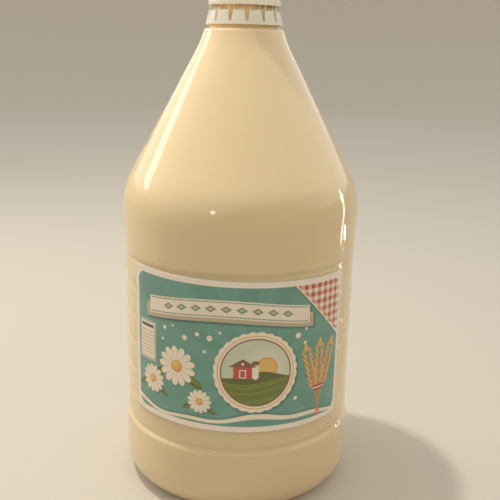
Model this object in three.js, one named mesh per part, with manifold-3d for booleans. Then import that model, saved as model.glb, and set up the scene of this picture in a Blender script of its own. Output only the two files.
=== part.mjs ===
// A one-gallon milk jug: a round clear bottle with a conical shoulder, the milk that fills it,
// a wrap label on its ribbed waist, and a screw cap with a slotted tamper band.
// Millimetres, +Z up. The origin is the middle of the plane that the bottle stands on, and the
// middle of the label faces -Y.

import * as THREE from 'three';
import { mergeVertices } from 'three/addons/utils/BufferGeometryUtils.js';
import Module from 'manifold-3d';

const wasm = await Module();
wasm.setup();

const { cos, sin, sqrt, abs, sign, PI } = Math;
const radians = THREE.MathUtils.degToRad;

// How finely round forms are divided
const TURN_SIDES = 40;
const ARC_STEPS = { dome: 4, baseCorner: 5, shoulder: 3, flare: 3, bead: 2, capEdge: 2 };
const MERGE_DISTANCE = 1e-4;

// Bottle: base
const WALL = 0.9;
const BODY_R = 74.5;
const BASE_CORNER_R = 17;
const STAND_INNER_R = 49;
const PUSH_UP = 3.6;

// Bottle: ribbed waist between the two bumpers
const WAIST_CREST_R = 73.5;
const GROOVE_PITCH = 18;
const LOWER_GROOVE_Z = 44.7;
const LOWER_GROOVE = { depth: 1.2, halfWidth: 4, floor: 1 };
const WAIST_GROOVE_COUNT = 5;
const WAIST_GROOVE = { depth: 0.6, halfWidth: 3.6, floor: 0 };
const UPPER_GROOVE_Z = LOWER_GROOVE_Z + GROOVE_PITCH * (WAIST_GROOVE_COUNT + 1);
const UPPER_GROOVE = { depth: 1, halfWidth: 3, floor: 0.6 };

// Bottle: upper bumper, shoulder, cone and flare
const UPPER_BUMPER_R = 73.8;
const SHOULDER_R = 74.4;
const SHOULDER_Z = 180.2;
const SHOULDER_FILLET = 45;
const CONE_TILT = radians(28.57);
const FLARE_START_Z = 274.4;
const FLARE_FILLET = 65.2;
const FLARE_END_TILT = radians(17.2);
const BEAD_FILLET = 1.8;
const BEAD_TOP_TILT = radians(84);

// Bottle: neck
const COLLAR_R = 21.4;
const COLLAR_TOP_Z = 291.4;
const NECK_R = 19;
const NECK_TOP_Z = 310.4;
const LIP_R = 18.55;

// Milk
const MILK_GAP = 0.3;
const MILK_LEVEL = 306;

// Label
const LABEL_GAP = 0.3;
const LABEL_THICK = 0.35;
const LABEL_HALF_ANGLE = radians(57.2);
const LABEL_BOTTOM_Z = 57.6;
const LABEL_TOP_Z = 150.5;
const LABEL_CORNER_R = 3;
const LABEL_SKEW = radians(-1.07);
const LABEL_COLUMNS = 28;
const LABEL_CORNER_COLUMNS = 4;

// Cap: skirt and top
const SLOT_COUNT = 14;
const CAP_SIDES = SLOT_COUNT * 3;
const CAP_TOP_Z = 312.3;
const CAP_TOP_R = 21.3;
const CAP_EDGE_FILLET = 1;
const CAP_TOP_THICK = 1.5;
const SKIRT_BOTTOM_Z = 300.8;
const SKIRT_BOTTOM_R = 21.63;
const SKIRT_WALL = 1.4;

// Cap: tamper band, its slots and its bridges
const BAND_BOTTOM_Z = 289.9;
const BAND_BOTTOM_R = 23.4;
const BAND_TOP_Z = 297.7;
const BAND_TOP_R = 21.6;
const BAND_WALL = 1.3;
const BAND_RING_HEIGHT = 1.8;
const SLOT_FLOOR_Z = BAND_BOTTOM_Z + BAND_RING_HEIGHT;
const SLOT_TOP_WIDTH = 3;
const SLOT_FLOOR_WIDTH = 1.5;
const SLOT_OVERCUT = 1;
const FIRST_SLOT_ANGLE = radians(4.2);
const BRIDGE_WIDTH = 1;
const BRIDGE_DEPTH = 0.8;
const BRIDGE_SINK = 0.4;
const BRIDGE_ANGLE = radians(7.8);

/** Points on an arc in the (radius, height) plane, both ends included. */
function arc(centreR, centreZ, radius, fromAngle, toAngle, steps) {
  return Array.from({ length: steps + 1 }, (_, i) => {
    const angle = fromAngle + ((toAngle - fromAngle) * i) / steps;
    return new THREE.Vector2(centreR + radius * cos(angle), centreZ + radius * sin(angle));
  });
}

/** A ring groove with sloping sides, from its lower edge to its upper one. */
function groove(z, lowerR, upperR, { depth, halfWidth, floor }) {
  const floorR = WAIST_CREST_R - depth;
  const floorPoints = floor > 0 ? [[floorR, z - floor], [floorR, z + floor]] : [[floorR, z]];
  return [[lowerR, z - halfWidth], ...floorPoints, [upperR, z + halfWidth]];
}

/** The waist's ribs: the groove below it, the shallow ones on it and the groove above it. */
function waist() {
  const shallow = Array.from({ length: WAIST_GROOVE_COUNT }, (_, i) => {
    const z = LOWER_GROOVE_Z + GROOVE_PITCH * (i + 1);
    return groove(z, WAIST_CREST_R, WAIST_CREST_R, WAIST_GROOVE);
  });
  return [
    ...groove(LOWER_GROOVE_Z, BODY_R, WAIST_CREST_R, LOWER_GROOVE),
    ...shallow.flat(),
    ...groove(UPPER_GROOVE_Z, WAIST_CREST_R, UPPER_BUMPER_R, UPPER_GROOVE),
  ];
}

/** The bottle's outline up to its collar, inset by a distance, from the axis up. */
function bodyOutline(inset) {
  const domeR = (STAND_INNER_R ** 2 + PUSH_UP ** 2) / (2 * PUSH_UP);
  const domeEdge = Math.asin(STAND_INNER_R / domeR);
  const domeTop = PI / 2;
  const dome = arc(0, PUSH_UP - domeR, domeR + inset, domeTop, domeTop - domeEdge, ARC_STEPS.dome);
  dome[0].x = 0;

  const cornerR = BASE_CORNER_R - inset;
  const cornerCentreR = BODY_R - BASE_CORNER_R;
  const baseCorner = arc(cornerCentreR, BASE_CORNER_R, cornerR, -PI / 2, 0, ARC_STEPS.baseCorner);
  const ribs = waist().map(([radius, z]) => new THREE.Vector2(radius - inset, z));

  const shoulderCentreR = SHOULDER_R - SHOULDER_FILLET;
  const shoulderR = SHOULDER_FILLET - inset;
  const shoulder = arc(shoulderCentreR, SHOULDER_Z, shoulderR, 0, CONE_TILT, ARC_STEPS.shoulder);
  const shoulderTopR = shoulderCentreR + SHOULDER_FILLET * cos(CONE_TILT);
  const shoulderTopZ = SHOULDER_Z + SHOULDER_FILLET * sin(CONE_TILT);
  const flareStartR = shoulderTopR - (FLARE_START_Z - shoulderTopZ) * Math.tan(CONE_TILT);

  const flareCentreR = flareStartR + FLARE_FILLET * cos(CONE_TILT);
  const flareCentreZ = FLARE_START_Z + FLARE_FILLET * sin(CONE_TILT);
  const flareR = FLARE_FILLET + inset;
  const flareFrom = PI + CONE_TILT;
  const flareTo = PI + FLARE_END_TILT;
  const flare = arc(flareCentreR, flareCentreZ, flareR, flareFrom, flareTo, ARC_STEPS.flare);

  const beadReach = FLARE_FILLET + BEAD_FILLET;
  const beadCentreR = flareCentreR - beadReach * cos(FLARE_END_TILT);
  const beadCentreZ = flareCentreZ - beadReach * sin(FLARE_END_TILT);
  const beadR = BEAD_FILLET - inset;
  const bead = arc(
    beadCentreR, beadCentreZ, beadR, FLARE_END_TILT, BEAD_TOP_TILT, ARC_STEPS.bead,
  ).slice(1);

  const collarR = COLLAR_R - inset;
  const ledgeZ = bead.at(-1).y + (bead.at(-1).x - collarR) * Math.tan(PI / 2 - BEAD_TOP_TILT);
  const neck = [
    new THREE.Vector2(collarR, ledgeZ),
    new THREE.Vector2(collarR, COLLAR_TOP_Z - inset),
    new THREE.Vector2(NECK_R - inset, COLLAR_TOP_Z - inset),
  ];
  return [...dome, ...baseCorner, ...ribs, ...shoulder, ...flare, ...bead, ...neck];
}

/** A closed, position-only geometry turned round the Z axis from an outline of (radius, height). */
function turned(outline, sides) {
  const geometry = new THREE.LatheGeometry(outline, sides);
  geometry.rotateX(PI / 2);
  geometry.deleteAttribute('normal');
  geometry.deleteAttribute('uv');
  return mergeVertices(geometry, MERGE_DISTANCE);
}

/** The clear shell: up the outside, over the lip and down the inside. */
function bottleGeometry() {
  const outside = [
    ...bodyOutline(0),
    new THREE.Vector2(NECK_R, NECK_TOP_Z - (NECK_R - LIP_R)),
    new THREE.Vector2(LIP_R, NECK_TOP_Z),
  ];
  const inside = [...bodyOutline(WALL), new THREE.Vector2(LIP_R - WALL / 2, NECK_TOP_Z)];
  return turned([...outside, ...inside.reverse()], TURN_SIDES);
}

/** The milk: the bottle's inside with a small gap, up to its level in the neck. */
function milkGeometry() {
  const outline = bodyOutline(WALL + MILK_GAP);
  const surfaceR = outline.at(-1).x;
  outline.push(new THREE.Vector2(surfaceR, MILK_LEVEL), new THREE.Vector2(0, MILK_LEVEL));
  return turned(outline, TURN_SIDES);
}

/** Places along the label, closer together through its rounded corners. */
function labelStations(halfLength) {
  const straight = halfLength - LABEL_CORNER_R;
  const corner = Array.from({ length: LABEL_CORNER_COLUMNS }, (_, i) => {
    return straight + LABEL_CORNER_R * sin(((i + 1) / LABEL_CORNER_COLUMNS) * (PI / 2));
  });
  const middle = Array.from({ length: LABEL_COLUMNS + 1 }, (_, i) => {
    return straight * ((2 * i) / LABEL_COLUMNS - 1);
  });
  return [...corner.map((u) => -u).reverse(), ...middle, ...corner];
}

/** The label: a thin sheet with rounded corners, bent round the waist and set slightly askew. */
function labelGeometry() {
  const innerR = WAIST_CREST_R + LABEL_GAP;
  const halfLength = innerR * LABEL_HALF_ANGLE;
  const halfHeight = (LABEL_TOP_Z - LABEL_BOTTOM_Z) / 2;
  const middleZ = (LABEL_TOP_Z + LABEL_BOTTOM_Z) / 2;
  const stations = labelStations(halfLength);
  const columns = stations.length - 1;

  // A flat sheet one unit a column wide; each point is then moved to its place on the waist.
  const geometry = new THREE.BoxGeometry(columns, LABEL_THICK, LABEL_THICK, columns, 1, 1);
  const position = geometry.getAttribute('position');
  for (let i = 0; i < position.count; i += 1) {
    const along = stations[Math.round(position.getX(i) + columns / 2)];
    const pastStraight = Math.max(0, abs(along) - (halfLength - LABEL_CORNER_R));
    const cornerDrop = LABEL_CORNER_R - sqrt(LABEL_CORNER_R ** 2 - pastStraight ** 2);
    const height = sign(position.getZ(i)) * (halfHeight - cornerDrop);
    const radius = innerR + LABEL_THICK / 2 - position.getY(i);
    const angle = along / innerR;
    const z = middleZ + height + innerR * sin(angle) * Math.tan(LABEL_SKEW);
    position.setXYZ(i, radius * sin(angle), -radius * cos(angle), z);
  }
  geometry.deleteAttribute('normal');
  geometry.deleteAttribute('uv');
  return mergeVertices(geometry);
}

/** A manifold solid from a closed geometry. */
function toSolid(geometry) {
  const vertProperties = new Float32Array(geometry.getAttribute('position').array);
  const triVerts = new Uint32Array(geometry.getIndex().array);
  return new wasm.Manifold(new wasm.Mesh({ numProp: 3, vertProperties, triVerts }));
}

/** A geometry from a manifold solid. */
function toGeometry(solid) {
  const { vertProperties, triVerts } = solid.getMesh();
  const geometry = new THREE.BufferGeometry();
  geometry.setAttribute('position', new THREE.BufferAttribute(vertProperties, 3));
  geometry.setIndex(new THREE.BufferAttribute(triVerts, 1));
  return geometry;
}

/** The cap's top and skirt, open below. */
function skirtGeometry() {
  const innerTopR = CAP_TOP_R - SKIRT_WALL;
  const ceilingZ = CAP_TOP_Z - CAP_TOP_THICK;
  const edgeR = CAP_TOP_R - CAP_EDGE_FILLET;
  const edgeZ = CAP_TOP_Z - CAP_EDGE_FILLET;
  const edge = arc(edgeR, edgeZ, CAP_EDGE_FILLET, 0, PI / 2, ARC_STEPS.capEdge);
  return turned([
    new THREE.Vector2(0, ceilingZ),
    new THREE.Vector2(innerTopR, ceilingZ),
    new THREE.Vector2(SKIRT_BOTTOM_R - SKIRT_WALL, SKIRT_BOTTOM_Z),
    new THREE.Vector2(SKIRT_BOTTOM_R, SKIRT_BOTTOM_Z),
    ...edge,
    new THREE.Vector2(0, CAP_TOP_Z),
  ], CAP_SIDES);
}

/** The tamper band before it is slotted: a conical ring, wider at its foot. */
function bandGeometry() {
  return turned([
    new THREE.Vector2(BAND_BOTTOM_R - BAND_WALL, BAND_BOTTOM_Z),
    new THREE.Vector2(BAND_BOTTOM_R, BAND_BOTTOM_Z),
    new THREE.Vector2(BAND_TOP_R, BAND_TOP_Z),
    new THREE.Vector2(BAND_TOP_R - BAND_WALL, BAND_TOP_Z),
    new THREE.Vector2(BAND_BOTTOM_R - BAND_WALL, BAND_BOTTOM_Z),
  ], CAP_SIDES);
}

/** Stands a geometry drawn at the front of the cap at an angle round it. */
function atAngle(geometry, angle) {
  geometry.rotateZ(angle);
  geometry.deleteAttribute('normal');
  geometry.deleteAttribute('uv');
  return toSolid(mergeVertices(geometry));
}

/** One wedge-shaped slot, open at the top of the band. */
function slotCutter(angle) {
  const rise = BAND_TOP_Z - SLOT_FLOOR_Z;
  const flank = (SLOT_TOP_WIDTH - SLOT_FLOOR_WIDTH) / 2 / rise;
  const halfTop = SLOT_TOP_WIDTH / 2 + flank * SLOT_OVERCUT;
  const halfFloor = SLOT_FLOOR_WIDTH / 2;
  const face = new THREE.Shape([
    new THREE.Vector2(-halfFloor, 0),
    new THREE.Vector2(halfFloor, 0),
    new THREE.Vector2(halfTop, rise + SLOT_OVERCUT),
    new THREE.Vector2(-halfTop, rise + SLOT_OVERCUT),
  ]);
  const reach = 3 * BAND_WALL;
  const cutter = new THREE.ExtrudeGeometry(face, { depth: 2 * reach, bevelEnabled: false });
  cutter.rotateX(PI / 2);
  cutter.translate(0, -(BAND_TOP_R + BAND_BOTTOM_R) / 2 + reach, SLOT_FLOOR_Z);
  return atAngle(cutter, angle);
}

/** One thin bridge that ties the band to the skirt. */
function bridge(angle) {
  const height = SKIRT_BOTTOM_Z - BAND_TOP_Z + 2 * BRIDGE_SINK;
  const tie = new THREE.BoxGeometry(BRIDGE_WIDTH, BRIDGE_DEPTH, height);
  tie.translate(0, -(BAND_TOP_R - BAND_WALL / 2), (SKIRT_BOTTOM_Z + BAND_TOP_Z) / 2);
  return atAngle(tie, angle);
}

/** The whole cap: one moulding of top, skirt, bridges and slotted band. */
function capGeometry() {
  let band = toSolid(bandGeometry());
  let cap = toSolid(skirtGeometry());
  for (let i = 0; i < SLOT_COUNT; i += 1) {
    const slotAngle = FIRST_SLOT_ANGLE + (i * 2 * PI) / SLOT_COUNT;
    const toothAngle = slotAngle + PI / SLOT_COUNT;
    band = band.subtract(slotCutter(slotAngle));
    cap = cap.add(bridge(toothAngle - BRIDGE_ANGLE)).add(bridge(toothAngle + BRIDGE_ANGLE));
  }
  return toGeometry(cap.add(band));
}

/** A named mesh with shading normals and a material of its own. */
function part(name, geometry, material) {
  geometry.computeVertexNormals();
  const mesh = new THREE.Mesh(geometry, new THREE.MeshStandardMaterial(material));
  mesh.name = name;
  return mesh;
}

const group = new THREE.Group();
group.add(
  part('bottle', bottleGeometry(), { color: 0xdfe3dc, roughness: 0.06, metalness: 0 }),
  part('milk', milkGeometry(), { color: 0xf1e8d2, roughness: 0.4, metalness: 0 }),
  part('label', labelGeometry(), { color: 0x5c9482, roughness: 0.32, metalness: 0 }),
  part('cap', capGeometry(), { color: 0xf2efe6, roughness: 0.38, metalness: 0 }),
);

export default group;
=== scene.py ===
"""Looks, floor, light and camera for a one-gallon milk jug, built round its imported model.

The jug is a round clear bottle full of milk, with a printed wrap label on its ribbed waist and
a white cap whose slotted tamper band hangs from the skirt by thin ties. Sizes are in metres.
"""

import logging
import math
from dataclasses import dataclass, field
from enum import Enum
from typing import Any, Sequence

import bmesh
import bpy
from mathutils import Matrix, Quaternion, Vector


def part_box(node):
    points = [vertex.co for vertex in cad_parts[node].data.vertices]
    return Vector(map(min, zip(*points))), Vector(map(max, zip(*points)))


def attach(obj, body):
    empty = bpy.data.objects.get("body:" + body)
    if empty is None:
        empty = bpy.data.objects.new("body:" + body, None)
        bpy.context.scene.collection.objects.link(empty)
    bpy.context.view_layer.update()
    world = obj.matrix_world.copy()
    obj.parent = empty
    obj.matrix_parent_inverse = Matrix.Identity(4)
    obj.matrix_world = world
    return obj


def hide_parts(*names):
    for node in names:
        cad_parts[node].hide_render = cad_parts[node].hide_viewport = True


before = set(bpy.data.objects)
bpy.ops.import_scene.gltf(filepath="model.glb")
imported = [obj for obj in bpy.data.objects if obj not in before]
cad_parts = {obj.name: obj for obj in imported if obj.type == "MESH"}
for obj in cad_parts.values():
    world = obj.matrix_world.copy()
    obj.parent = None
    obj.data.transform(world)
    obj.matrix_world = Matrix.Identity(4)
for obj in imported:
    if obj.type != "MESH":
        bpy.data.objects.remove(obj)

MM = 0.001
ROOT = "root"
QUARTER_TURN = math.pi / 2
FULL_TURN = 2 * math.pi
MERGE_DISTANCE = 1e-6
# Half an index, added so that rounding always lands on the whole number meant.
HALF_INDEX = 0.5

Point = tuple[float, float]
Triple = tuple[float, float, float]
Colour = tuple[float, float, float, float]

log = logging.getLogger("jug")


class Slot(Enum):
    """The record's material slots."""

    WALL = "clear_plastic"
    MILK = "milk"
    LABEL = "printed_label"
    CAP = "cap_plastic"


class Val:
    """A node socket that takes part in Python arithmetic by adding Math nodes."""

    def __init__(self, nodes: "Nodes", socket: bpy.types.NodeSocket) -> None:
        """Wrap an output socket of a tree."""
        self.nodes = nodes
        self.socket = socket

    def of(self, key: str | int) -> "Val":
        """Another output of the same node."""
        return Val(self.nodes, self.nodes.find(self.socket.node.outputs, key))

    def math(self, operation: str, *others: Any) -> "Val":
        """One Math node with this value first."""
        return self.nodes.math(operation, self, *others)

    def __add__(self, other: Any) -> "Val":
        """Sum."""
        return self.math("ADD", other)

    __radd__ = __add__

    def __mul__(self, other: Any) -> "Val":
        """Product."""
        return self.math("MULTIPLY", other)

    __rmul__ = __mul__

    def __sub__(self, other: Any) -> "Val":
        """Difference."""
        return self.math("SUBTRACT", other)

    def __rsub__(self, other: Any) -> "Val":
        """Difference from a plain number."""
        return self.nodes.math("SUBTRACT", other, self)

    def __truediv__(self, other: Any) -> "Val":
        """Quotient."""
        return self.math("DIVIDE", other)

    def __rtruediv__(self, other: Any) -> "Val":
        """Plain number over this value."""
        return self.nodes.math("DIVIDE", other, self)

    def __pow__(self, other: Any) -> "Val":
        """Power."""
        return self.math("POWER", other)

    def __neg__(self) -> "Val":
        """Negative."""
        return self.math("MULTIPLY", -1.0)

    def __abs__(self) -> "Val":
        """Size without sign."""
        return self.math("ABSOLUTE")

    def lower(self, other: Any) -> "Val":
        """The lower of two values."""
        return self.math("MINIMUM", other)

    def upper(self, other: Any) -> "Val":
        """The higher of two values."""
        return self.math("MAXIMUM", other)

    def clamp(self, low: Any = 0.0, high: Any = 1.0) -> "Val":
        """This value kept between two limits."""
        return self.upper(low).lower(high)

    def sin(self) -> "Val":
        """Sine."""
        return self.math("SINE")

    def cos(self) -> "Val":
        """Cosine."""
        return self.math("COSINE")

    def floor(self) -> "Val":
        """Whole number below."""
        return self.math("FLOOR")

    def fract(self) -> "Val":
        """Part after the point."""
        return self.math("FRACT")


class Nodes:
    """A node tree under construction, for a shader or for geometry."""

    def __init__(self, tree: bpy.types.NodeTree) -> None:
        """Take a tree to add nodes to."""
        self.tree = tree

    @staticmethod
    def find(sockets: Any, key: str | int) -> bpy.types.NodeSocket:
        """Find a socket by its index, its identifier or its shown name.

        Args:
            sockets: The node's inputs or outputs.
            key: Index, identifier or name.

        Returns:
            The socket.

        Raises:
            KeyError: If no such socket is in use.
        """
        if isinstance(key, int):
            return sockets[key]
        for socket in sockets:
            if socket.identifier == key:
                return socket
        for socket in sockets:
            if socket.name == key and socket.enabled:
                return socket
        raise KeyError(key)

    def feed(self, target: bpy.types.NodeSocket, value: Any) -> None:
        """Link a value to an input socket, or set the socket to a plain value.

        Args:
            target: The input socket.
            value: Another node's output, or a plain value.
        """
        if isinstance(value, Val):
            self.tree.links.new(value.socket, target)
        else:
            target.default_value = value

    def node(
        self,
        kind: str,
        settings: dict[str, Any] | None = None,
        inputs: dict[str | int, Any] | None = None,
        output: str | int = 0,
    ) -> Val | None:
        """Add a node.

        Args:
            kind: The node's type.
            settings: Properties to set first.
            inputs: Values or links by socket.
            output: The output wanted.

        Returns:
            That output as a value, or None for a node without outputs.
        """
        made = self.tree.nodes.new(kind)
        for name, value in (settings or {}).items():
            setattr(made, name, value)
        for key, value in (inputs or {}).items():
            self.feed(self.find(made.inputs, key), value)
        if not made.outputs:
            return None
        return Val(self, self.find(made.outputs, output))

    def math(self, operation: str, *values: Any) -> Val:
        """Add one Math node over one to three values."""
        return self.node("ShaderNodeMath", {"operation": operation}, dict(enumerate(values)))

    def mix(self, under: Any, over: Any, share: Any) -> Val:
        """Blend two colours.

        Args:
            under: Colour where share is 0.
            over: Colour where share is 1.
            share: How much of the second shows.

        Returns:
            The blended colour.
        """
        inputs = {"Factor_Float": share, "A_Color": under, "B_Color": over}
        return self.node("ShaderNodeMix", {"data_type": "RGBA"}, inputs, "Result_Color")

    def vector(self, x: Any, y: Any, z: Any) -> Val:
        """Join three values into a vector."""
        return self.node("ShaderNodeCombineXYZ", inputs={0: x, 1: y, 2: z})

    def parts(self, vector: Val) -> tuple[Val, Val, Val]:
        """Split a vector into its three values."""
        x = self.node("ShaderNodeSeparateXYZ", inputs={0: vector}, output="X")
        return x, x.of("Y"), x.of("Z")


class GeometryTree(Nodes):
    """A geometry node tree with named inputs, applied to an object and then made plain mesh."""

    def __init__(self, name: str, inputs: dict[str, str]) -> None:
        """Start a tree.

        Args:
            name: The tree's name.
            inputs: Socket type of each named input, without the common prefix.
        """
        super().__init__(bpy.data.node_groups.new(name, "GeometryNodeTree"))
        face = self.tree.interface
        face.new_socket(name="Geometry", in_out="INPUT", socket_type="NodeSocketGeometry")
        for label, kind in inputs.items():
            face.new_socket(name=label, in_out="INPUT", socket_type=f"NodeSocket{kind}")
        face.new_socket(name="Geometry", in_out="OUTPUT", socket_type="NodeSocketGeometry")
        self.entry = self.node("NodeGroupInput", output="Geometry")

    def given(self, label: str) -> Val:
        """A named input of the tree."""
        return self.entry.of(label)

    def finish(self, shape: Val) -> None:
        """End the tree: merge, smooth, realize and give the material.

        Args:
            shape: The geometry to hand on.
        """
        merged = self.node(
            "GeometryNodeMergeByDistance", inputs={"Geometry": shape, "Distance": MERGE_DISTANCE}
        )
        smooth = self.node("GeometryNodeSetShadeSmooth", inputs={"Geometry": merged})
        real = self.node("GeometryNodeRealizeInstances", inputs={"Geometry": smooth})
        dressed = self.node(
            "GeometryNodeSetMaterial", inputs={"Geometry": real, "Material": self.given("Material")}
        )
        self.node("NodeGroupOutput", inputs={"Geometry": dressed})

    def apply(self, piece: bpy.types.Object, values: dict[str, Any]) -> None:
        """Put the tree on an object.

        Args:
            piece: The object.
            values: Values of the tree's named inputs.
        """
        modifier = piece.modifiers.new(self.tree.name, "NODES")
        modifier.node_group = self.tree
        for item in self.tree.interface.items_tree:
            if item.in_out == "INPUT" and item.name in values:
                modifier[item.identifier] = values[item.name]


def turned_tree() -> GeometryTree:
    """Build the tree that turns an outline round the Z axis and rolls grooves into it.

    Returns:
        The tree. Its geometry is a chain of points in the XZ plane.
    """
    tree = GeometryTree(
        "turned form",
        {
            "Sides": "Int",
            "Groove Pitch": "Float",
            "First Groove": "Float",
            "Last Groove": "Int",
            "Groove Depth": "Float",
            "Lower Depth": "Float",
            "Upper Depth": "Float",
            "Groove Half Width": "Float",
            "Material": "Material",
        },
    )
    outline = tree.entry
    sides = tree.given("Sides")
    count = tree.node("GeometryNodeAttributeDomainSize", inputs={"Geometry": outline})
    grid = tree.node("GeometryNodeMeshGrid", inputs={"Vertices X": sides + 1, "Vertices Y": count})

    index = tree.node("GeometryNodeInputIndex")
    column = ((index + HALF_INDEX) / count).floor()
    row = index - column * count
    place = tree.node(
        "GeometryNodeSampleIndex",
        {"data_type": "FLOAT_VECTOR"},
        {
            "Geometry": outline,
            "Value": tree.node("GeometryNodeInputPosition"),
            "Index": row + HALF_INDEX,
        },
    )
    radius, _, height = tree.parts(place)

    last = tree.given("Last Groove")
    pitch = tree.given("Groove Pitch")
    above = height - tree.given("First Groove")
    number = (above / pitch + HALF_INDEX).floor().clamp(0.0, last)
    reach = (1 - abs(above - number * pitch) / tree.given("Groove Half Width")).upper(0.0)
    dip = (reach * QUARTER_TURN).sin() ** 2
    depth = tree.given("Groove Depth")
    is_lowest = tree.math("LESS_THAN", number, HALF_INDEX)
    is_highest = tree.math("GREATER_THAN", number, last - HALF_INDEX)
    depth = depth + is_lowest * (tree.given("Lower Depth") - depth)
    depth = depth + is_highest * (tree.given("Upper Depth") - depth)
    radius = radius - dip * depth

    angle = column * FULL_TURN / sides
    placed = tree.node(
        "GeometryNodeSetPosition",
        inputs={
            "Geometry": grid,
            "Position": tree.vector(radius * angle.sin(), -radius * angle.cos(), height),
        },
    )
    tree.finish(placed)
    return tree


def ring_tree() -> GeometryTree:
    """Build the tree that repeats a shape at even angles round the Z axis.

    Returns:
        The tree. Its geometry is one shape, in place at the front.
    """
    tree = GeometryTree(
        "ring of shapes", {"Count": "Int", "First Angle": "Float", "Material": "Material"}
    )
    count = tree.given("Count")
    centres = tree.node("GeometryNodePoints", inputs={"Count": count})
    step = tree.node("GeometryNodeInputIndex") * FULL_TURN / count
    turn = tree.vector(0.0, 0.0, tree.given("First Angle") + step)
    shapes = tree.node(
        "GeometryNodeInstanceOnPoints",
        inputs={"Points": centres, "Instance": tree.entry, "Rotation": turn},
    )
    tree.finish(tree.node("GeometryNodeRealizeInstances", inputs={"Geometry": shapes}))
    return tree


def mesh_object(
    name: str, points: Sequence[Sequence[float]], faces: Sequence[Sequence[int]] = (),
    edges: Sequence[Sequence[int]] = (),
) -> bpy.types.Object:
    """Make a mesh object at the origin.

    Args:
        name: The object's name.
        points: Vertex places.
        faces: Vertex numbers of each face.
        edges: Vertex numbers of each loose edge.

    Returns:
        The object, linked to the scene.
    """
    mesh = bpy.data.meshes.new(name)
    mesh.from_pydata([tuple(point) for point in points], list(edges), list(faces))
    mesh.update()
    made = bpy.data.objects.new(name, mesh)
    bpy.context.scene.collection.objects.link(made)
    return made


def quads(
    rows: int, columns: int, start: int = 0, closed: bool = False
) -> list[tuple[int, ...]]:
    """Faces between rows of points that are numbered one row after another.

    Args:
        rows: Number of rows.
        columns: Number of points in a row.
        start: Number of the first point.
        closed: Whether each row's end meets its start.

    Returns:
        Vertex numbers of each face.
    """
    faces = []
    for row in range(start, start + (rows - 1) * columns, columns):
        for i in range(columns if closed else columns - 1):
            a, b = row + i, row + (i + 1) % columns
            faces.append((a, b, b + columns, a + columns))
    return faces


def make_plain(piece: bpy.types.Object) -> None:
    """Turn a piece's modifiers into its own mesh, with its faces pointing out.

    Args:
        piece: The object, whose modifiers are used up.
    """
    bpy.context.view_layer.update()
    depsgraph = bpy.context.evaluated_depsgraph_get()
    mesh = bpy.data.meshes.new_from_object(
        piece.evaluated_get(depsgraph), preserve_all_data_layers=True, depsgraph=depsgraph
    )
    piece.modifiers.clear()
    piece.data = mesh
    mesh.name = piece.name
    if signed_volume(mesh) < 0:
        mesh.flip_normals()


def thicken(piece: bpy.types.Object, thickness: float) -> None:
    """Give a sheet a wall that grows inwards from its outer face.

    Args:
        piece: The sheet, with its outer face built.
        thickness: The wall's thickness.
    """
    wall = piece.modifiers.new("wall", "SOLIDIFY")
    wall.thickness = thickness
    wall.offset = -1.0


def signed_volume(mesh: bpy.types.Mesh) -> float:
    """Measure the volume that a mesh encloses.

    Args:
        mesh: The mesh.

    Returns:
        The volume in cubic metres, negative if the faces point in.
    """
    shape = bmesh.new()
    shape.from_mesh(mesh)
    volume = shape.calc_volume(signed=True)
    shape.free()
    return volume


def add_to_object(piece: bpy.types.Object, *nodes: str, slot: Slot) -> None:
    """Hang a finished piece on the root body, hide the CAD nodes that it stands for, and log it.

    Args:
        piece: The finished piece.
        nodes: The CAD nodes that it stands for.
        slot: Its material slot; not used.
    """
    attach(piece, ROOT)
    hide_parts(*nodes)
    log.info("%s: %d faces, stands for %s", piece.name, len(piece.data.polygons), ", ".join(nodes))


def arc(
    centre_r: float, centre_z: float, radius: float, start: float, end: float, steps: int
) -> list[Point]:
    """Points on an arc in the (radius, height) plane.

    Args:
        centre_r: Distance of the arc's centre from the axis.
        centre_z: Height of the arc's centre.
        radius: The arc's radius.
        start: First angle.
        end: Last angle.
        steps: Number of steps.

    Returns:
        The points, both ends included.
    """
    angles = [start + (end - start) * i / steps for i in range(steps + 1)]
    return [(centre_r + radius * math.cos(a), centre_z + radius * math.sin(a)) for a in angles]


def spaced(start: float, end: float, step: float) -> list[float]:
    """Even places from start to end, both included, about a step apart."""
    count = max(1, round(abs(end - start) / step))
    return [start + (end - start) * i / count for i in range(count + 1)]


def ease(value: float, start: float, end: float) -> float:
    """Smooth rise from 0 at start to 1 at end."""
    share = min(1.0, max(0.0, (value - start) / (end - start)))
    return share * share * (3 - 2 * share)


def round_axis(radius: float, angle: float, height: float) -> Vector:
    """A place at an angle from the front, anticlockwise from above."""
    return Vector((radius * math.sin(angle), -radius * math.cos(angle), height))


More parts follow.
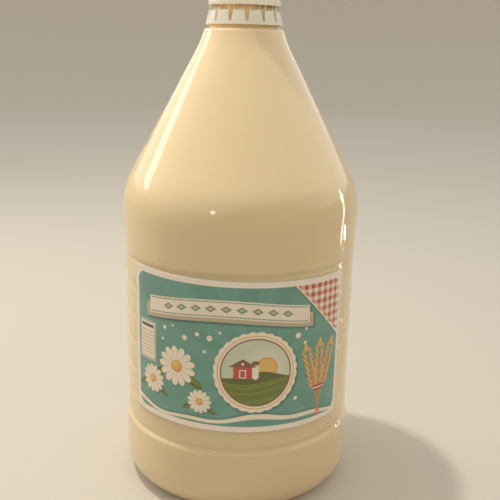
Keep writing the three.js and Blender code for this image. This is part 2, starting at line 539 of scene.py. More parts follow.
class Finish:
    """A procedural material: a subclass fills its node tree."""

    name: str = "finish"

    def material(self) -> bpy.types.Material:
        """Build the material.

        Returns:
            The material.
        """
        made = bpy.data.materials.new(self.name)
        made.use_nodes = True
        made.node_tree.nodes.clear()
        nodes = Nodes(made.node_tree)
        nodes.node("ShaderNodeOutputMaterial", inputs={"Surface": self.surface(nodes)})
        return made

    def surface(self, nodes: Nodes) -> Val:
        """Add the finish's nodes and return its surface shader."""
        raise NotImplementedError

    @staticmethod
    def place(nodes: Nodes) -> Val:
        """Object coordinates, in metres."""
        return nodes.node("ShaderNodeTexCoord", output="Object")

    @staticmethod
    def noise(nodes: Nodes, place: Val, size: float, detail: float) -> Val:
        """Noise with features of a size in metres, from 0 to 1."""
        inputs = {"Vector": place, "Scale": 1 / size, "Detail": detail}
        return nodes.node("ShaderNodeTexNoise", inputs=inputs)

    @staticmethod
    def bump(nodes: Nodes, height: Val, distance: float, under: Val | None = None) -> Val:
        """Bend a normal by a height.

        Args:
            nodes: The material's tree.
            height: Height from 0 to 1.
            distance: What a height of 1 stands for, in metres.
            under: The normal to bend, or None for the mesh's own.

        Returns:
            The bent normal.
        """
        inputs = {"Height": height, "Distance": distance, "Strength": 1.0}
        if under is not None:
            inputs["Normal"] = under
        return nodes.node("ShaderNodeBump", inputs=inputs)


@dataclass(frozen=True)
class ClearWall(Finish):
    """Clear glossy plastic, a little wavy from the blow mould and faintly smeared."""

    name: str = "clear wall"
    tint: Colour = (1.0, 0.995, 0.985, 1.0)
    index: float = 1.5
    gloss: float = 0.035
    smear: float = 0.05
    smear_size: float = 22 * MM
    smear_start: float = 0.45
    wave_size: float = 38 * MM
    wave_upright: float = 0.45
    wave_depth: float = 0.20 * MM
    ripple_size: float = 9 * MM
    ripple_depth: float = 0.045 * MM
    seam_half_width: float = 0.35 * MM
    seam_depth: float = 0.12 * MM

    def surface(self, nodes: Nodes) -> Val:
        """Refracting plastic that lets lamps light what is behind it.

        Args:
            nodes: The material's tree.

        Returns:
            The surface shader.
        """
        place = self.place(nodes)
        x, y, z = nodes.parts(place)
        stretched = nodes.vector(x, y, z * self.wave_upright)
        wave = self.noise(nodes, stretched, self.wave_size, detail=1.0)
        ripple = self.noise(nodes, place, self.ripple_size, detail=1.0)
        seam = (1 - abs(y) / self.seam_half_width).clamp()
        smear = self.noise(nodes, place, self.smear_size, detail=4.0)
        normal = self.bump(nodes, wave, self.wave_depth)
        normal = self.bump(nodes, ripple, self.ripple_depth, normal)
        normal = self.bump(nodes, seam, self.seam_depth, normal)
        plastic = nodes.node(
            "ShaderNodeBsdfPrincipled",
            inputs={
                "Base Color": self.tint,
                "Transmission Weight": 1.0,
                "IOR": self.index,
                "Roughness": self.gloss + self.smear * (smear - self.smear_start).clamp(),
                "Normal": normal,
            },
        )
        lets_light_by = nodes.node("ShaderNodeBsdfTransparent", inputs={"Color": self.tint})
        shadow = nodes.node("ShaderNodeLightPath", output="Is Shadow Ray")
        return nodes.node("ShaderNodeMixShader", inputs={0: shadow, 1: plastic, 2: lets_light_by})


@dataclass(frozen=True)
class CreamMilk(Finish):
    """Opaque milk: cream white, with light that sinks in a little."""

    name: str = "milk"
    colour: Colour = (0.93, 0.80, 0.565, 1.0)
    deep_colour: Colour = (0.91, 0.765, 0.515, 1.0)
    clouding: float = 60 * MM
    index: float = 1.35
    roughness: float = 0.35
    sink: float = 0.35
    sink_scale: float = 3 * MM
    sink_radius: Triple = (1.0, 0.8, 0.5)

    def surface(self, nodes: Nodes) -> Val:
        """Faintly clouded milk.

        Args:
            nodes: The material's tree.

        Returns:
            The surface shader.
        """
        cloud = self.noise(nodes, self.place(nodes), self.clouding, detail=3.0)
        return nodes.node(
            "ShaderNodeBsdfPrincipled",
            inputs={
                "Base Color": nodes.mix(self.colour, self.deep_colour, cloud),
                "Roughness": self.roughness,
                "IOR": self.index,
                "Subsurface Weight": self.sink,
                "Subsurface Radius": self.sink_radius,
                "Subsurface Scale": self.sink_scale,
            },
        )


@dataclass(frozen=True)
class CapPlastic(Finish):
    """White moulded plastic with a fine grain, a waxy depth and a little light through it."""

    name: str = "cap plastic"
    colour: Colour = (0.98, 0.93, 0.84, 1.0)
    worn_colour: Colour = (0.95, 0.88, 0.76, 1.0)
    through_colour: Colour = (1.0, 0.80, 0.52, 1.0)
    through: float = 0.6
    roughness: float = 0.36
    mottle_size: float = 7 * MM
    mottle_roughness: float = 0.12
    grain_size: float = 0.6 * MM
    grain_depth: float = 0.02 * MM
    sink: float = 0.45
    sink_scale: float = 2.2 * MM
    sink_radius: Triple = (1.0, 0.72, 0.42)

    def surface(self, nodes: Nodes) -> Val:
        """White plastic, a little unevenly coloured, whose thin walls let some light through.

        Args:
            nodes: The material's tree.

        Returns:
            The surface shader.
        """
        place = self.place(nodes)
        grain = self.noise(nodes, place, self.grain_size, detail=3.0)
        mottle = self.noise(nodes, place, self.mottle_size, detail=3.0)
        plastic = nodes.node(
            "ShaderNodeBsdfPrincipled",
            inputs={
                "Base Color": nodes.mix(self.colour, self.worn_colour, mottle),
                "Roughness": self.roughness + self.mottle_roughness * mottle,
                "Subsurface Weight": self.sink,
                "Subsurface Radius": self.sink_radius,
                "Subsurface Scale": self.sink_scale,
                "Normal": self.bump(nodes, grain, self.grain_depth),
            },
        )
        glow = nodes.node("ShaderNodeBsdfTransparent", inputs={"Color": self.through_colour})
        shadow = nodes.node("ShaderNodeLightPath", output="Is Shadow Ray")
        return nodes.node(
            "ShaderNodeMixShader", inputs={0: shadow * self.through, 1: plastic, 2: glow}
        )


@dataclass(frozen=True)
class StudioSweep(Finish):
    """Pale matt studio paper."""

    name: str = "studio sweep"
    colour: Colour = (0.90, 0.85, 0.78, 1.0)
    tooth_size: float = 3 * MM
    tooth_roughness: float = 0.1
    roughness: float = 0.7
    shine: float = 0.25

    def surface(self, nodes: Nodes) -> Val:
        """Even pale paper with a faint tooth.

        Args:
            nodes: The material's tree.

        Returns:
            The surface shader.
        """
        tooth = self.noise(nodes, self.place(nodes), self.tooth_size, detail=3.0)
        return nodes.node(
            "ShaderNodeBsdfPrincipled",
            inputs={
                "Base Color": self.colour,
                "Roughness": self.roughness + self.tooth_roughness * tooth,
                "Specular IOR Level": self.shine,
            },
        )


class Plane:
    """Two coordinates on the print, in millimetres, and the distances drawn in them."""

    EDGE = 0.16

    def __init__(self, nodes: Nodes, u: Val, v: Val) -> None:
        """Take the coordinates.

        Args:
            nodes: The material's tree.
            u: Millimetres along the print.
            v: Millimetres up the print.
        """
        self.nodes = nodes
        self.u = u
        self.v = v

    def at(self, u: float, v: float, turn: float = 0.0) -> "Plane":
        """Coordinates about another middle, turned anticlockwise.

        Args:
            u: The new middle's place along the print.
            v: The new middle's height on the print.
            turn: Angle in radians.

        Returns:
            The new coordinates.
        """
        du, dv = self.u - u, self.v - v
        if not turn:
            return Plane(self.nodes, du, dv)
        c, s = math.cos(turn), math.sin(turn)
        return Plane(self.nodes, du * c + dv * s, dv * c - du * s)

    def radius(self) -> Val:
        """Distance from the middle."""
        return self.nodes.math("SQRT", self.u * self.u + self.v * self.v)

    def angle(self) -> Val:
        """Angle round the middle."""
        return self.nodes.math("ARCTAN2", self.v, self.u)

    def disc(self, radius: Any) -> Val:
        """Distance to a disc's edge, negative inside."""
        return self.radius() - radius

    def oval(self, half_u: float, half_v: float) -> Val:
        """Distance to an oval's edge, negative inside."""
        near = Plane(self.nodes, self.u / half_u, self.v / half_v).radius()
        return (near - 1) * min(half_u, half_v)

    def box(self, half_u: float, half_v: float, corner: float = 0.0) -> Val:
        """Distance to a box's edge, negative inside.

        Args:
            half_u: Half its width.
            half_v: Half its height.
            corner: Radius of its corners.

        Returns:
            The distance.
        """
        over_u = abs(self.u) - (half_u - corner)
        over_v = abs(self.v) - (half_v - corner)
        outside = Plane(self.nodes, over_u.upper(0.0), over_v.upper(0.0)).radius()
        return outside + over_u.upper(over_v).lower(0.0) - corner


def inside(distance: Val, soft: float = Plane.EDGE) -> Val:
    """Make a mask that is 1 inside an edge.

    Args:
        distance: Distance to the edge in millimetres, negative inside.
        soft: Half the width of the mask's own soft edge, in millimetres.

    Returns:
        The mask.
    """
    return (0.5 - distance / (2 * soft)).clamp()


class Print:
    """Flat inks, each laid over the last inside its mask."""

    def __init__(self, nodes: Nodes, ground: Colour) -> None:
        """Start from the bare film's colour."""
        self.nodes = nodes
        self.colour: Any = ground

    def lay(self, ink: Any, mask: Val) -> None:
        """Lay an ink over what is there.

        Args:
            ink: A colour, or another print's colour.
            mask: 1 where the ink goes.
        """
        self.colour = self.nodes.mix(self.colour, ink, mask)


@dataclass(frozen=True)
class Inks:
    """The print's colours."""

    film: Colour = (0.94, 0.85, 0.75, 1.0)
    teal: Colour = (0.150, 0.345, 0.285, 1.0)
    light_teal: Colour = (0.185, 0.400, 0.330, 1.0)
    dark_teal: Colour = (0.045, 0.120, 0.105, 1.0)
    cream: Colour = (0.92, 0.82, 0.68, 1.0)
    shade: Colour = (0.56, 0.47, 0.36, 1.0)
    gold: Colour = (0.80, 0.52, 0.16, 1.0)
    orange: Colour = (0.72, 0.26, 0.06, 1.0)
    red: Colour = (0.55, 0.09, 0.06, 1.0)
    olive: Colour = (0.13, 0.15, 0.035, 1.0)
    green: Colour = (0.22, 0.27, 0.05, 1.0)
    brown: Colour = (0.26, 0.11, 0.055, 1.0)
    sky: Colour = (0.62, 0.66, 0.52, 1.0)
    ink: Colour = (0.06, 0.07, 0.07, 1.0)


@dataclass(frozen=True)
class PrintedFilm(Finish):
    """Satin film with a generic dairy print: meadow, daisies, wheat, ribbon and check.

    The print's own sizes and places are in millimetres from the label's middle.
    """

    name: str = "printed film"
    inks: Inks = field(default_factory=Inks)
    length: float = 147.0
    height: float = 93.0
    border: float = 3.6
    corner: float = 6.0
    roughness: float = 0.30
    grain_size: float = 0.9 * MM
    grain_share: float = 0.15
    grain_roughness: float = 0.08
    blister_size: float = 14 * MM
    relief: float = 0.10 * MM
    coat: float = 0.35
    coat_roughness: float = 0.16
    ray_count: int = 14
    medallion_at: Point = (11.0, -8.5)
    ribbon_at: Point = (-7.0, 26.5)
    ribbon_bow: float = 3.2
    ribbon_curl: float = 24.0
    sheaf_at: Point = (53.5, -35.0)
    sheaf_turns: tuple[float, ...] = (0.28, 0.0, -0.28)
    tie_at: Point = (53.5, -24.0)
    check_at: Point = (70.0, 43.0)
    check_reach: float = 25.0
    check_step: float = 5.0
    panel_at: Point = (-61.0, 1.0)
    panel_rule: float = 2.3
    daisies: tuple[Triple, ...] = ((-37.5, -9.5, 12.5), (-56.0, -22.5, 9.0), (-22.5, -29.0, 7.5))
    drops: tuple[Triple, ...] = (
        (-16.5, 11.5, 1.7), (-19.5, 3.0, 1.0), (-10.5, 15.5, 0.8), (-24.0, 13.0, 1.3),
        (36.5, 12.5, 1.8), (41.5, 7.5, 1.1), (42.0, 16.0, 0.9), (-32.0, 9.5, 1.5),
        (-46.0, 13.0, 1.2), (-40.0, 15.5, 0.8), (-47.5, 5.5, 0.9), (36.0, -27.0, 1.2),
    )

    def surface(self, nodes: Nodes) -> Val:
        """The print under a thin gloss coat.

        Args:
            nodes: The material's tree.

        Returns:
            The surface shader.
        """
        place = nodes.node("ShaderNodeUVMap", {"uv_map": WrapLabel.UV_NAME})
        across, up, _ = nodes.parts(place)
        sheet = Plane(nodes, (across - 0.5) * self.length, (up - 0.5) * self.height)
        art = self.art(nodes, sheet)
        grain = self.noise(nodes, self.place(nodes), self.grain_size, detail=2.0)
        blister = self.noise(nodes, self.place(nodes), self.blister_size, detail=1.0)
        height = self.grain_share * grain + (1 - self.grain_share) * blister
        return nodes.node(
            "ShaderNodeBsdfPrincipled",
            inputs={
                "Base Color": art.colour,
                "Roughness": self.roughness + self.grain_roughness * grain,
                "Coat Weight": self.coat,
                "Coat Roughness": self.coat_roughness,
                "Normal": self.bump(nodes, height, self.relief),
            },
        )

    def art(self, nodes: Nodes, sheet: Plane) -> Print:
        """Lay every ink of the print in order.

        Args:
            nodes: The material's tree.
            sheet: Coordinates about the label's middle.

        Returns:
            The finished print.
        """
        made = Print(nodes, self.inks.teal)
        self.rays(made, sheet)
        self.wave(made, sheet)
        self.ribbon(made, sheet.at(*self.ribbon_at))
        self.medallion(made, sheet.at(*self.medallion_at))
        for u, v, size in self.daisies:
            self.daisy(made, sheet.at(u, v), size)
        for turn in self.sheaf_turns:
            self.wheat(made, sheet.at(*self.sheaf_at, turn))
        self.tie(made, sheet.at(*self.tie_at))
        self.check(made, sheet)
        self.panel(made, sheet.at(*self.panel_at))
        for u, v, size in self.drops:
            made.lay(self.inks.cream, inside(sheet.at(u, v).disc(size)))
        half_u = self.length / 2 - self.border
        half_v = self.height / 2 - self.border
        field_mask = inside(sheet.box(half_u, half_v, self.corner))
        made.colour = nodes.mix(self.inks.film, made.colour, field_mask)
        return made

    def rays(self, made: Print, sheet: Plane) -> None:
        """Lay faint rays out of the medallion."""
        wave = (sheet.at(*self.medallion_at).angle() * self.ray_count).sin()
        made.lay(self.inks.light_teal, 0.55 * inside(wave * -2, 0.3))

    def wave(self, made: Print, sheet: Plane) -> None:
        """Lay a cream wave along the foot of the field.

        Args:
            made: The print.
            sheet: Coordinates about the label's middle.
        """
        swell = 4.2 * (sheet.u / 17 + 0.6).sin() + 1.7 * (sheet.u / 6.5).sin()
        made.lay(self.inks.dark_teal, 0.5 * inside(sheet.v + 37.0 - 0.6 * swell, 0.9))
        made.lay(self.inks.cream, inside(sheet.v + 38.0 - 0.6 * swell))
        made.lay(self.inks.teal, inside(sheet.v + 40.6 - 0.45 * swell, 0.3))

    def ribbon(self, made: Print, near: Plane) -> None:
        """Lay a bare cream ribbon with swallow tails over its shadow.

        Args:
            made: The print.
            near: Coordinates about the ribbon's middle.
        """
        inks = self.inks
        shadow = (1.1, inks.dark_teal, inks.dark_teal, 0.85, 0.7)
        cloth = (0.0, inks.cream, inks.shade, 1.0, Plane.EDGE)
        for shift, body_ink, tail_ink, strength, soft in (shadow, cloth):
            part = near.at(shift, -shift)
            bow = part.v - self.ribbon_bow * (part.u / self.ribbon_curl).cos()
            tail_u = abs(part.u) - 54
            notch = 2.6 * (1 - abs(bow + 3.4) / 4.4)
            tail = tail_u.upper(abs(bow + 3.4) - 4.4).upper(abs(part.u) - 58 + notch)
            made.lay(tail_ink, strength * inside(tail, soft))
            body = (abs(bow) - 5.4).upper(abs(part.u) - 51)
            made.lay(body_ink, strength * inside(body, soft))
        self.lozenges(made, near)

    def lozenges(self, made: Print, near: Plane) -> None:
        """Lay two fine lines and a row of lozenges along the ribbon.

        Args:
            made: The print.
            near: Coordinates about the ribbon's middle.
        """
        bow = near.v - self.ribbon_bow * (near.u / self.ribbon_curl).cos()
        for offset in (-4.3, 4.3):
            line = (abs(bow - offset) - 0.28).upper(abs(near.u) - 50)
            made.lay(self.inks.teal, inside(line))
        step, row_end = 9, 41
        cell = (near.u / step + 0.5).fract() * step - step / 2
        for ink, reach in ((self.inks.teal, 2.1), (self.inks.gold, 1.0)):
            lozenge = abs(cell) * 0.62 + abs(bow) - reach
            made.lay(ink, inside(lozenge.upper(abs(near.u) - row_end)))

    def medallion(self, made: Print, near: Plane) -> None:
        """Lay a round picture of a meadow with a barn at sunrise, in a scalloped rim.

        Args:
            made: The print.
            near: Coordinates about the medallion's middle.
        """
        inks = self.inks
        rim, band, picture = 24.6, 22.7, 20.8
        scallop = 0.75 * abs((near.angle() * self.ray_count).sin())
        made.lay(inks.dark_teal, 0.7 * inside(near.at(0.9, -0.9).disc(rim + 0.8), 0.8))
        made.lay(inks.cream, inside(near.disc(rim + scallop)))
        made.lay(inks.gold, inside(abs(near.disc(band)) - 0.35))
        made.lay(self.meadow(near).colour, inside(near.disc(picture)))
        made.lay(inks.brown, inside(abs(near.disc(picture)) - 0.4))

    def meadow(self, near: Plane) -> Print:
        """Draw the medallion's picture.

        Args:
            near: Coordinates about the medallion's middle.

        Returns:
            The picture, not yet cut to its round.
        """
        inks = self.inks
        scene = Print(near.nodes, inks.sky)
        sun = near.at(6.0, 3.0).disc(6.2)
        scene.lay(inks.cream, 0.8 * inside(near.at(6.0, 2.0).disc(9.0), 7.0))
        scene.lay(inks.gold, inside(sun))
        scene.lay(inks.orange, inside(abs(sun) - 0.3))
        far_hill = near.v + 1.5 - 2.2 * (near.u / 7 + 1.1).sin()
        scene.lay(inks.olive, inside(far_hill))
        self.barn(scene, near.at(-8.0, 0.5))
        near_hill = near.v + 5.5 - 2.0 * (near.u / 9 - 0.7).sin()
        scene.lay(inks.green, inside(near_hill))
        furrow = (near_hill / (2.0 - near_hill * 0.16)).fract() - 0.5
        furrows = inside((0.32 - abs(furrow)) * -2, 0.25)
        scene.lay(inks.olive, 0.55 * furrows * inside(near_hill + 1.2))
        return scene

    def barn(self, scene: Print, near: Plane) -> None:
        """Lay a small barn with a gable roof, a door and a silo.

        Args:
            scene: The medallion's picture.
            near: Coordinates about the barn's middle.
        """
        inks = self.inks
        scene.lay(inks.cream, inside(near.at(7.4, 1.0).box(1.9, 5.6, 1.8)))
        scene.lay(inks.brown, inside(near.at(7.4, 5.6).box(2.2, 1.3, 1.2)))
        scene.lay(inks.red, inside(near.box(5.4, 4.0)))
        roof = (abs(near.u) * 0.62 + near.v - 8.2).upper(3.0 - near.v)
        scene.lay(inks.brown, inside(roof))
        scene.lay(inks.cream, inside(abs(near.at(0.0, -1.2).box(1.7, 2.3)) - 0.3))
        scene.lay(inks.cream, inside(near.at(0.0, 5.0).disc(0.8)))

    def daisy(self, made: Print, near: Plane, size: float) -> None:
        """Lay a daisy with two leaves.

        Args:
            made: The print.
            near: Coordinates about the flower's middle.
            size: The flower's radius.
        """
        inks = self.inks
        for turn in (-0.6, math.pi + 0.5):
            leaf = near.at(0.0, 0.0, turn).at(size * 1.05, 0.0)
            made.lay(inks.olive, inside(leaf.oval(size * 0.55, size * 0.2)))
            made.lay(inks.green, inside(leaf.at(0.0, size * 0.05).oval(size * 0.42, size * 0.09)))
        petal = abs((near.angle() * 6.5 + size).sin())
        reach = size * (0.62 + 0.38 * petal ** 0.45)
        made.lay(inks.dark_teal, 0.45 * inside(near.at(0.7, -0.7).disc(reach), 0.7))
        made.lay(inks.cream, inside(near.disc(reach)))
        crease = (0.16 - petal) * near.radius()
        made.lay(inks.shade, 0.75 * inside(-crease, 0.35) * inside(near.disc(reach)))
        made.lay(inks.orange, inside(near.disc(size * 0.30)))
        made.lay(inks.gold, inside(near.at(-size * 0.03, size * 0.04).disc(size * 0.24)))

    def wheat(self, made: Print, near: Plane) -> None:
        """Lay one ear of wheat on its stalk, rising from the sheaf's tie.

        Args:
            made: The print.
            near: Coordinates about the stalk's foot, with the stalk upright.
        """
        inks = self.inks
        grain_step = 4.4
        side = abs(near.u)
        made.lay(inks.orange, inside((side - 0.45).upper(abs(near.v - 10) - 20)))
        row = (near.v / grain_step - 0.28 * side).fract() * grain_step - grain_step / 2
        grain = Plane(near.nodes, side - 2.2, row).at(0.0, 0.0, -0.55)
        in_ear = inside(abs(near.v - 26.4) - 13.2)
        made.lay(inks.orange, inside(grain.oval(1.35, 2.3)) * in_ear)
        made.lay(inks.gold, inside(grain.at(-0.15, 0.15).oval(0.95, 1.8)) * in_ear)
        made.lay(inks.gold, inside(near.at(0.0, 40.6).oval(1.2, 2.6)))

    def tie(self, made: Print, near: Plane) -> None:
        """Lay the red band that ties the sheaf."""
        made.lay(self.inks.red, inside(near.box(4.4, 1.9, 0.9)))
        made.lay(self.inks.cream, inside(near.box(4.4, 0.35)))

    def check(self, made: Print, sheet: Plane) -> None:
        """Lay a corner of red and cream gingham.

        Args:
            made: The print.
            sheet: Coordinates about the label's middle.
        """
        near = sheet.at(*self.check_at, math.pi / 4)
        corner = -near.u - self.check_reach
        step = self.check_step
        u_band = inside((((sheet.u + 0.4) / step).fract() - 0.5) * step, 0.12)
        v_band = inside(((sheet.v / step).fract() - 0.5) * step, 0.12)
        cloth = Print(near.nodes, self.inks.cream)
        cloth.lay(self.inks.red, 0.5 * (u_band + v_band))
        made.lay(self.inks.dark_teal, 0.8 * inside(corner - 1.6, 0.6))
        made.lay(self.inks.cream, inside(corner - 1.0))
        made.lay(cloth.colour, inside(corner))

    def panel(self, made: Print, near: Plane) -> None:
        """Lay a plain ruled panel with no lettering.

        Args:
            made: The print.
            near: Coordinates about the panel's middle.
        """
        rule_step = self.panel_rule
        made.lay(self.inks.cream, inside(near.box(7.4, 12.5)))
        made.lay(self.inks.ink, inside(abs(near.box(6.7, 11.8)) - 0.2))
        rule = (near.v / rule_step).fract() * rule_step - rule_step / 2
        ruled = (abs(rule) - 0.22).upper(abs(near.u) - 5.6).upper(abs(near.v + 1.4) - 9)
        made.lay(self.inks.brown, 0.6 * inside(ruled))
        made.lay(self.inks.ink, inside(near.at(0.0, 9.2).box(5.6, 0.9)))


@dataclass(frozen=True)
class Grooves:
    """The ring grooves of the ribbed waist."""

    first_z: float = 44.7 * MM
    pitch: float = 18.0 * MM
    last: int = 6
    depth: float = 0.6 * MM
    lower_depth: float = 0.95 * MM
    upper_depth: float = 1.0 * MM
    half_width: float = 3.0 * MM

    @property
    def last_z(self) -> float:
        """Height of the highest groove."""
        return self.first_z + self.pitch * self.last

    def values(self) -> dict[str, Any]:
        """The turned form's inputs.

        Returns:
            The values by the inputs' names.
        """
        return {
            "Groove Pitch": self.pitch,
            "First Groove": self.first_z,
            "Last Groove": self.last,
            "Groove Depth": self.depth,
            "Lower Depth": self.lower_depth,
            "Upper Depth": self.upper_depth,
            "Groove Half Width": self.half_width,
        }


NO_GROOVES = Grooves(depth=0.0, lower_depth=0.0, upper_depth=0.0)


class Turner:
    """Turns outlines into closed pieces with one geometry tree."""

    def __init__(self) -> None:
        """Build the tree once."""
        self.tree = turned_tree()

    def piece(
        self, name: str, outline: Sequence[Point], sides: int, grooves: Grooves,
        material: bpy.types.Material,
    ) -> bpy.types.Object:
        """Turn an outline into a piece.

        Args:
            name: The piece's name.
            outline: Points of (radius, height).
            sides: Number of sides round the axis.
            grooves: The grooves rolled into it.
            material: Its material.

        Returns:
            The piece as a plain mesh.
        """
        chain = [(i, i + 1) for i in range(len(outline) - 1)]
        made = mesh_object(name, [(r, 0.0, z) for r, z in outline], edges=chain)
        values = {"Sides": sides, "Material": material, **grooves.values()}
        self.tree.apply(made, values)
        make_plain(made)
        return made


@dataclass(frozen=True)
class BottleForm:
    """The bottle's sizes and the outlines that follow from them."""

    body_r: float = 74.5 * MM
    base_corner: float = 17.0 * MM
    stand_inner_r: float = 49.0 * MM
    push_up: float = 3.6 * MM
    crest_r: float = 73.5 * MM
    bumper_r: float = 73.8 * MM
    shoulder_r: float = 74.4 * MM
    shoulder_z: float = 180.2 * MM
    shoulder_fillet: float = 45.0 * MM
    cone_tilt: float = math.radians(28.57)
    flare_z: float = 274.4 * MM
    flare_fillet: float = 65.2 * MM
    flare_end_tilt: float = math.radians(17.2)
    bead_fillet: float = 1.8 * MM
    collar_r: float = 21.4 * MM
    collar_top: float = 291.4 * MM
    collar_fillet: float = 0.3 * MM
    ledge_tilt: float = math.radians(6)
    bead_end_tilt: float = math.radians(84)
    neck_r: float = 19.0 * MM
    lip_fillet: float = 0.4 * MM
    groove_margin: float = 1.5
    bumper_step: float = 8 * MM
    shoulder_step: float = 6 * MM
    grooves: Grooves = field(default_factory=Grooves)

    DOME_STEPS = 10
    ROUND_STEPS = 22
    FLARE_STEPS = 14
    CONE_STEPS = 12
    BEAD_STEPS = 8

    @property
    def neck_top(self) -> float:
        """Height of the mouth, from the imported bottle."""
        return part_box("bottle")[1][2]

    def waist_r(self, z: float) -> float:
        """Radius of the walls between the base corner and the shoulder, without grooves.

        Args:
            z: A height.

        Returns:
            The radius there.
        """
        g = self.grooves
        radius = self.body_r
        fall = ease(z, g.first_z - g.half_width, g.first_z + g.half_width)
        radius -= (self.body_r - self.crest_r) * fall
        rise = ease(z, g.last_z - g.half_width, g.last_z + g.half_width)
        radius += (self.bumper_r - self.crest_r) * rise
        if z > g.last_z + g.half_width:
            share = (z - g.last_z - g.half_width) / (self.shoulder_z - g.last_z - g.half_width)
            radius += (self.shoulder_r - self.bumper_r) * share
        return radius

    def base(self, inset: float) -> list[Point]:
        """The underside and base corner, from the axis out.

        Args:
            inset: Distance in from the outer surface.

        Returns:
            Points of (radius, height).
        """
        dome_r = (self.stand_inner_r**2 + self.push_up**2) / (2 * self.push_up)
        edge = math.asin(self.stand_inner_r / dome_r)
        dome = arc(
            0.0, self.push_up - dome_r, dome_r + inset, QUARTER_TURN, QUARTER_TURN - edge,
            self.DOME_STEPS,
        )
        dome[0] = (0.0, dome[0][1])
        corner = arc(
            self.body_r - self.base_corner, self.base_corner, self.base_corner - inset,
            -QUARTER_TURN, 0.0, self.ROUND_STEPS,
        )
        return dome + corner

    def walls(self, inset: float, step: float) -> list[Point]:
        """The bumpers and the ribbed waist, from the base corner to the shoulder.

        Args:
            inset: Distance in from the outer surface.
            step: Height between two points on the ribs.

        Returns:
            Points of (radius, height).
        """
        g = self.grooves
        low = g.first_z - self.groove_margin * g.half_width
        high = g.last_z + self.groove_margin * g.half_width
        heights = [
            *spaced(self.base_corner, low, self.bumper_step)[1:-1],
            *spaced(low, high, step),
            *spaced(high, self.shoulder_z, self.shoulder_step)[1:-1],
        ]
        return [(self.waist_r(z) - inset, z) for z in heights]

    def top(self, inset: float) -> list[Point]:
        """The shoulder, cone, flare, bead and collar, up to the neck's foot.

        Args:
            inset: Distance in from the outer surface.

        Returns:
            Points of (radius, height).
        """
        tilt = self.cone_tilt
        centre_r = self.shoulder_r - self.shoulder_fillet
        shoulder = arc(
            centre_r, self.shoulder_z, self.shoulder_fillet - inset, 0.0, tilt, self.ROUND_STEPS
        )
        top_r = centre_r + self.shoulder_fillet * math.cos(tilt)
        top_z = self.shoulder_z + self.shoulder_fillet * math.sin(tilt)
        flare_r = top_r - (self.flare_z - top_z) * math.tan(tilt)
        flare_centre_r = flare_r + self.flare_fillet * math.cos(tilt)
        flare_centre_z = self.flare_z + self.flare_fillet * math.sin(tilt)
        flare = arc(
            flare_centre_r, flare_centre_z, self.flare_fillet + inset,
            math.pi + tilt, math.pi + self.flare_end_tilt, self.FLARE_STEPS,
        )
        (start_r, start_z), (end_r, end_z) = shoulder[-1], flare[0]
        steps = self.CONE_STEPS
        cone = [
            (start_r + (end_r - start_r) * i / steps, start_z + (end_z - start_z) * i / steps)
            for i in range(1, steps)
        ]
        reach = self.flare_fillet + self.bead_fillet
        bead = arc(
            flare_centre_r - reach * math.cos(self.flare_end_tilt),
            flare_centre_z - reach * math.sin(self.flare_end_tilt),
            self.bead_fillet - inset, self.flare_end_tilt, self.bead_end_tilt, self.BEAD_STEPS,
        )[1:]
        return shoulder + cone + flare + bead + self.collar(inset, bead[-1])

    def collar(self, inset: float, ledge: Point) -> list[Point]:
        """The collar that stands on the bead's ledge, and the neck's foot on top of it.

        Args:
            inset: Distance in from the outer surface.
            ledge: The bead's last point.

        Returns:
            Points of (radius, height).
        """
        collar_r = self.collar_r - inset
        neck_r = self.neck_r - inset
        top_z = self.collar_top - inset
        slope = math.tan(self.ledge_tilt)
        foot_z = ledge[1] + (ledge[0] - collar_r) * slope
        fillet = self.collar_fillet
        return [
            (collar_r + fillet, foot_z - fillet * slope), (collar_r, foot_z + fillet),
            (collar_r, top_z - fillet), (collar_r - fillet, top_z),
            (neck_r + fillet, top_z), (neck_r, top_z + fillet),
        ]

    def outline(self, inset: float, step: float) -> list[Point]:
        """The whole outline below the neck, inset by a distance."""
        return self.base(inset) + self.walls(inset, step) + self.top(inset)


@dataclass
class Bottle:
    """The clear blow-moulded shell."""

    form: BottleForm = field(default_factory=BottleForm)
    wall: float = 0.9 * MM
    sides: int = 144
    outer_step: float = 0.6 * MM
    inner_step: float = 1.2 * MM
    lip_steps: int = 4
    finish: Finish = field(default_factory=ClearWall)

    def build(self, turner: Turner) -> bpy.types.Object:
        """Make the shell: up the outside, over the lip and down the inside.

        Args:
            turner: The tree that turns outlines.

        Returns:
            The shell.
        """
        form = self.form
        lip = form.lip_fillet
        outside = form.outline(0.0, self.outer_step)
        lip_z = form.neck_top - lip
        outer_lip = arc(form.neck_r - lip, lip_z, lip, 0.0, QUARTER_TURN, self.lip_steps)
        inner_r = form.neck_r - self.wall
        inside_wall = form.outline(self.wall, self.inner_step) + [(inner_r, form.neck_top)]
        outline = outside + outer_lip + inside_wall[::-1]
        made = turner.piece(
            "clear_bottle", outline, self.sides, form.grooves, self.finish.material()
        )
        add_to_object(made, "bottle", slot=Slot.WALL)
        return made


